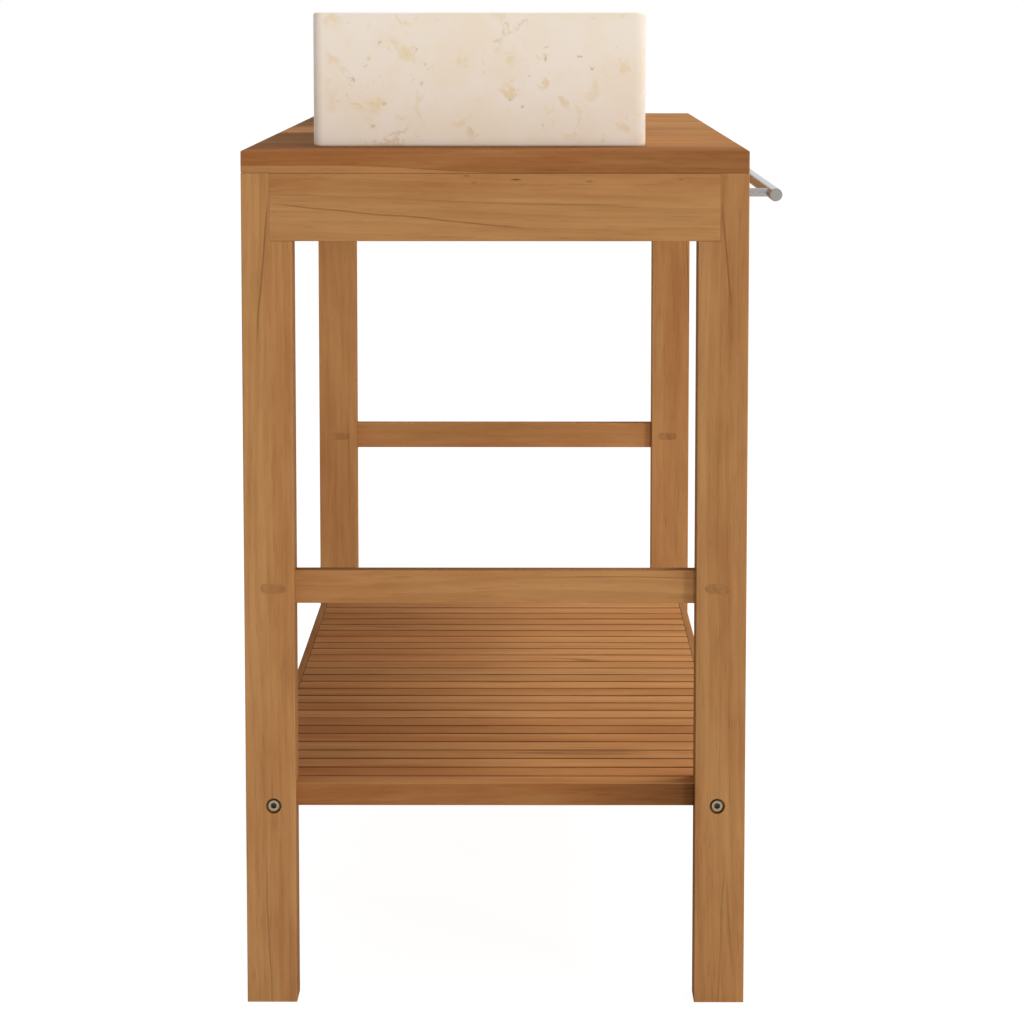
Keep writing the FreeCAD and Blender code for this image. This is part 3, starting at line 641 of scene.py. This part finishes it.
def make_stone():
    """Cream stone, honed to a satin: clouds, ochre stains, faint veins, golden flecks and brown pits."""
    stone = Finish("cream_stone", STONE_SURFACE)
    raw = stone.place
    stir = stone.sway(stone.noise(raw, STIR_RATE, detail=3.0, output="Color"))
    place = stone.vector("ADD", raw, stone.scaled(stir, STIR_REACH))
    cloud = stone.step(stone.noise(place, CLOUD_RATE, detail=4.0, roughness=0.6), *CLOUD_LEVELS)
    stain = stone.step(stone.noise(place, STAIN_RATE, detail=3.0, roughness=0.6), *STAIN_LEVELS)
    vein = stone.noise(place, STONE_VEIN_RATE, detail=4.0, roughness=0.6)
    vein = stone.near(vein, NOISE_MEAN, STONE_VEIN_WIDTH)
    vein = stone.times(vein, stone.step(stone.noise(raw, STONE_FADE_RATE), *STONE_FADE_LEVELS))
    flock = stone.step(stone.noise(raw, FLOCK_RATE), *FLOCK_LEVELS)
    fleck = stone.step(stone.noise(place, FLECK_RATE, roughness=0.55), *FLECK_LEVELS)
    fleck = stone.times(fleck, flock)
    pit = stone.step(stone.noise(place, PIT_RATE, detail=3.0, roughness=0.55), *PIT_LEVELS)
    pit = stone.times(pit, flock)

    color = stone.blend(cloud, CREAM, PALE_CREAM)
    color = stone.blend(stone.times(stain, STAIN_SHARE), color, OCHRE)
    color = stone.blend(stone.times(vein, STONE_VEIN_SHARE), color, VEIN_BROWN)
    color = stone.blend(stone.times(fleck, FLECK_SHARE), color, FLECK_GOLD)
    color = stone.blend(stone.times(pit, PIT_SHARE), color, PIT_BROWN)
    haze = stone.noise(raw, HAZE_RATE, detail=3.0)
    roughness = stone.changed(stone.span(haze, *STONE_ROUGHNESS), PIT_ROUGHNESS, pit)
    height = stone.changed(stone.times(haze, HAZE_HEIGHT), PIT_HEIGHT, pit)
    stone.paint(color, roughness, height, depth=0.0003, strength=0.6)
    dress(["basin_left", "basin_right"], stone.material)


def metal(name, nodes, tones, polish, brushed, relief, socket_shade_depth=None, end_tone=None):
    """A metal finish: two tones, a range of roughness, brush marks in each metre and their depth.

    A painted shade darkens what lies the given depth or more in from the outermost place along x,
    deep in the bolts' sockets. The end tone colours the faces that point along x.
    """
    finish = Finish(name, {"Metallic": 1.0})
    marks = finish.noise(finish.vector("MULTIPLY", finish.place, brushed), detail=3.0, roughness=0.6)
    smudge = finish.noise(finish.place, SMUDGE_RATE, detail=3.0, roughness=0.6)
    smear = finish.span(smudge, *SMUDGE_ROUGHNESS)
    roughness = finish.math("ADD", finish.span(marks, *polish), smear, clamp=True)
    color = finish.blend(smudge, *tones)
    if socket_shade_depth:
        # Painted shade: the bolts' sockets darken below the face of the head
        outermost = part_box(nodes[0])[1].x
        depth = finish.math("SUBTRACT", outermost, finish.math("ABSOLUTE", finish.parts(finish.place)[0]))
        color = finish.blend(finish.step(depth, SOCKET_SHADE_START * socket_shade_depth, socket_shade_depth), color, SOCKET_SHADE)
    if end_tone:
        color = finish.blend(finish.faces(0), color, end_tone)
    finish.paint(color, roughness, marks, depth=relief, strength=0.4)
    dress(nodes, finish.material)


def make_metal():
    """The steel bar and its posts, the bolts, the other fasteners and the chrome wastes."""
    metal(
        "bar_steel", ["towel_bar"],
        tones=((0.47, 0.46, 0.45, 1.0), (0.55, 0.54, 0.53, 1.0)),
        polish=(0.24, 0.38), brushed=(12.0, 2400.0, 2400.0), relief=0.00002,
        end_tone=(0.33, 0.32, 0.30, 1.0),
    )
    metal(
        "post_steel", ["towel_bar_posts"],
        tones=((0.34, 0.33, 0.32, 1.0), (0.42, 0.41, 0.40, 1.0)),
        polish=(0.20, 0.32), brushed=(2400.0, 12.0, 2400.0), relief=0.00002,
    )
    metal(
        "bolt_steel", ["shelf_bolts"],
        tones=((0.29, 0.235, 0.165, 1.0), (0.38, 0.31, 0.22, 1.0)),
        polish=(0.30, 0.50), brushed=(900.0, 900.0, 900.0), relief=0.00006,
        socket_shade_depth=0.0022,
    )
    metal(
        "plated_steel", ["barrel_nuts", "wood_screws", "towel_bar_screws"],
        tones=((0.50, 0.49, 0.47, 1.0), (0.60, 0.58, 0.54, 1.0)),
        polish=(0.22, 0.42), brushed=(900.0, 900.0, 900.0), relief=0.00006,
    )
    waste_kinds = ("waste_body", "waste_plug", "waste_locknuts")
    metal(
        "waste_chrome", [name for name in sorted(NODES) if name.startswith(waste_kinds)],
        tones=((0.56, 0.57, 0.58, 1.0), (0.64, 0.65, 0.66, 1.0)),
        polish=(0.03, 0.10), brushed=(160.0, 160.0, 160.0), relief=0.00002,
    )


def make_rubber():
    """Black rubber, matt and a little dusty."""
    rubber = Finish("seal_rubber", RUBBER_SURFACE)
    dust = rubber.noise(rubber.place, DUST_RATE, detail=3.0, roughness=0.6)
    color = rubber.blend(dust, BLACK_RUBBER, DUSTY_RUBBER)
    rubber.paint(color, rubber.span(dust, *RUBBER_ROUGHNESS), dust, depth=0.0002, strength=0.5)
    dress(["waste_seals"], rubber.material)


def seen_rays(nodes):
    """1 for the rays that show the background: from the camera, mirrored or through something clear."""
    path = nodes.add("ShaderNodeLightPath").outputs
    bent = nodes.math("MAXIMUM", path["Is Glossy Ray"], path["Is Transmission Ray"])
    return nodes.math("MAXIMUM", path["Is Camera Ray"], bent)


def make_floor():
    """A plain pale floor, white to the eye, that still takes the object's shadow."""
    mesh = bpy.data.meshes.new("floor")
    corners = [(-FLOOR_HALF, -FLOOR_HALF, 0), (FLOOR_HALF, -FLOOR_HALF, 0),
               (FLOOR_HALF, FLOOR_HALF, 0), (-FLOOR_HALF, FLOOR_HALF, 0)]
    mesh.from_pydata(corners, [], [(0, 1, 2, 3)])
    floor = bpy.data.objects.new("floor", mesh)
    bpy.context.scene.collection.objects.link(floor)
    material = bpy.data.materials.new("pale_floor")
    material.use_nodes = True
    material.node_tree.nodes.clear()
    nodes = Nodes(material.node_tree)
    pale = nodes.add("ShaderNodeBsdfDiffuse", {"Color": FLOOR_COLOR}).outputs[0]
    glow = nodes.add("ShaderNodeEmission", {"Color": WHITE, "Strength": FLOOR_GLOW}).outputs[0]
    shaded = nodes.add("ShaderNodeBsdfDiffuse", {"Color": FLOOR_SHADOW}).outputs[0]
    white = nodes.add("ShaderNodeAddShader", {0: glow, 1: shaded}).outputs[0]
    mixed = nodes.add("ShaderNodeMixShader", {0: seen_rays(nodes), 1: pale, 2: white}).outputs[0]
    nodes.add("ShaderNodeOutputMaterial", {"Surface": mixed})
    mesh.materials.append(material)


def make_world():
    """Soft light from all round, most from the front, and white where the eye looks past the object."""
    world = bpy.data.worlds.new("studio")
    bpy.context.scene.world = world
    world.use_nodes = True
    world.node_tree.nodes.clear()
    nodes = Nodes(world.node_tree)
    towards_rear = nodes.parts(nodes.add("ShaderNodeTexCoord").outputs["Generated"])[1]
    sockets = {
        "Value": towards_rear,
        "From Min": -1.0,
        "From Max": 1.0,
        "To Min": FRONT_LIGHT,
        "To Max": REAR_LIGHT,
    }
    level = nodes.add("ShaderNodeMapRange", sockets).outputs[0]
    soft = nodes.add("ShaderNodeBackground", {"Color": SOFT_WHITE, "Strength": level}).outputs[0]
    white = nodes.add("ShaderNodeBackground", {"Color": WHITE, "Strength": 1.0}).outputs[0]
    mixed = nodes.add("ShaderNodeMixShader", {0: seen_rays(nodes), 1: soft, 2: white}).outputs[0]
    nodes.add("ShaderNodeOutputWorld", {"Surface": mixed})


def add_lamp(name, place, width, power):
    """A square soft lamp that points at the middle of the object."""
    data = bpy.data.lights.new(name, "AREA")
    data.size = width
    data.energy = power
    lamp = bpy.data.objects.new(name, data)
    bpy.context.scene.collection.objects.link(lamp)
    lamp.location = place
    lamp.visible_camera = False
    lamp.visible_glossy = False
    lamp.rotation_mode = "QUATERNION"
    lamp.rotation_quaternion = (Vector(LAMP_TARGET) - Vector(place)).to_track_quat("-Z", "Y")


def make_lamps():
    """Studio lamps: one behind the camera, one off the near front corner and one high over the front."""
    add_lamp("behind_camera", place=(-8.4, -1.3, 0.7), width=1.2, power=160.0)
    add_lamp("off_corner", place=(-4.5, -3.4, 1.0), width=0.8, power=72.0)
    add_lamp("high_front", place=(0.6, -1.9, 3.2), width=1.6, power=70.0)


def make_camera():
    """The photograph's view: the stand's left end, with the front and its towel bar to the right."""
    data = bpy.data.cameras.new("camera")
    data.sensor_width = SENSOR_WIDTH
    data.lens = FOCAL_PIXELS * SENSOR_WIDTH / PHOTO_SIDE
    camera = bpy.data.objects.new("camera", data)
    bpy.context.scene.collection.objects.link(camera)
    camera.location = CAMERA_PLACE
    camera.rotation_mode = "QUATERNION"
    camera.rotation_quaternion = Vector(CAMERA_AHEAD).to_track_quat("-Z", "Y")
    bpy.context.scene.camera = camera


make_wood()
make_stone()
make_metal()
make_rubber()
make_floor()
make_world()
make_lamps()
make_camera()
bpy.context.scene.view_settings.view_transform = "Standard"
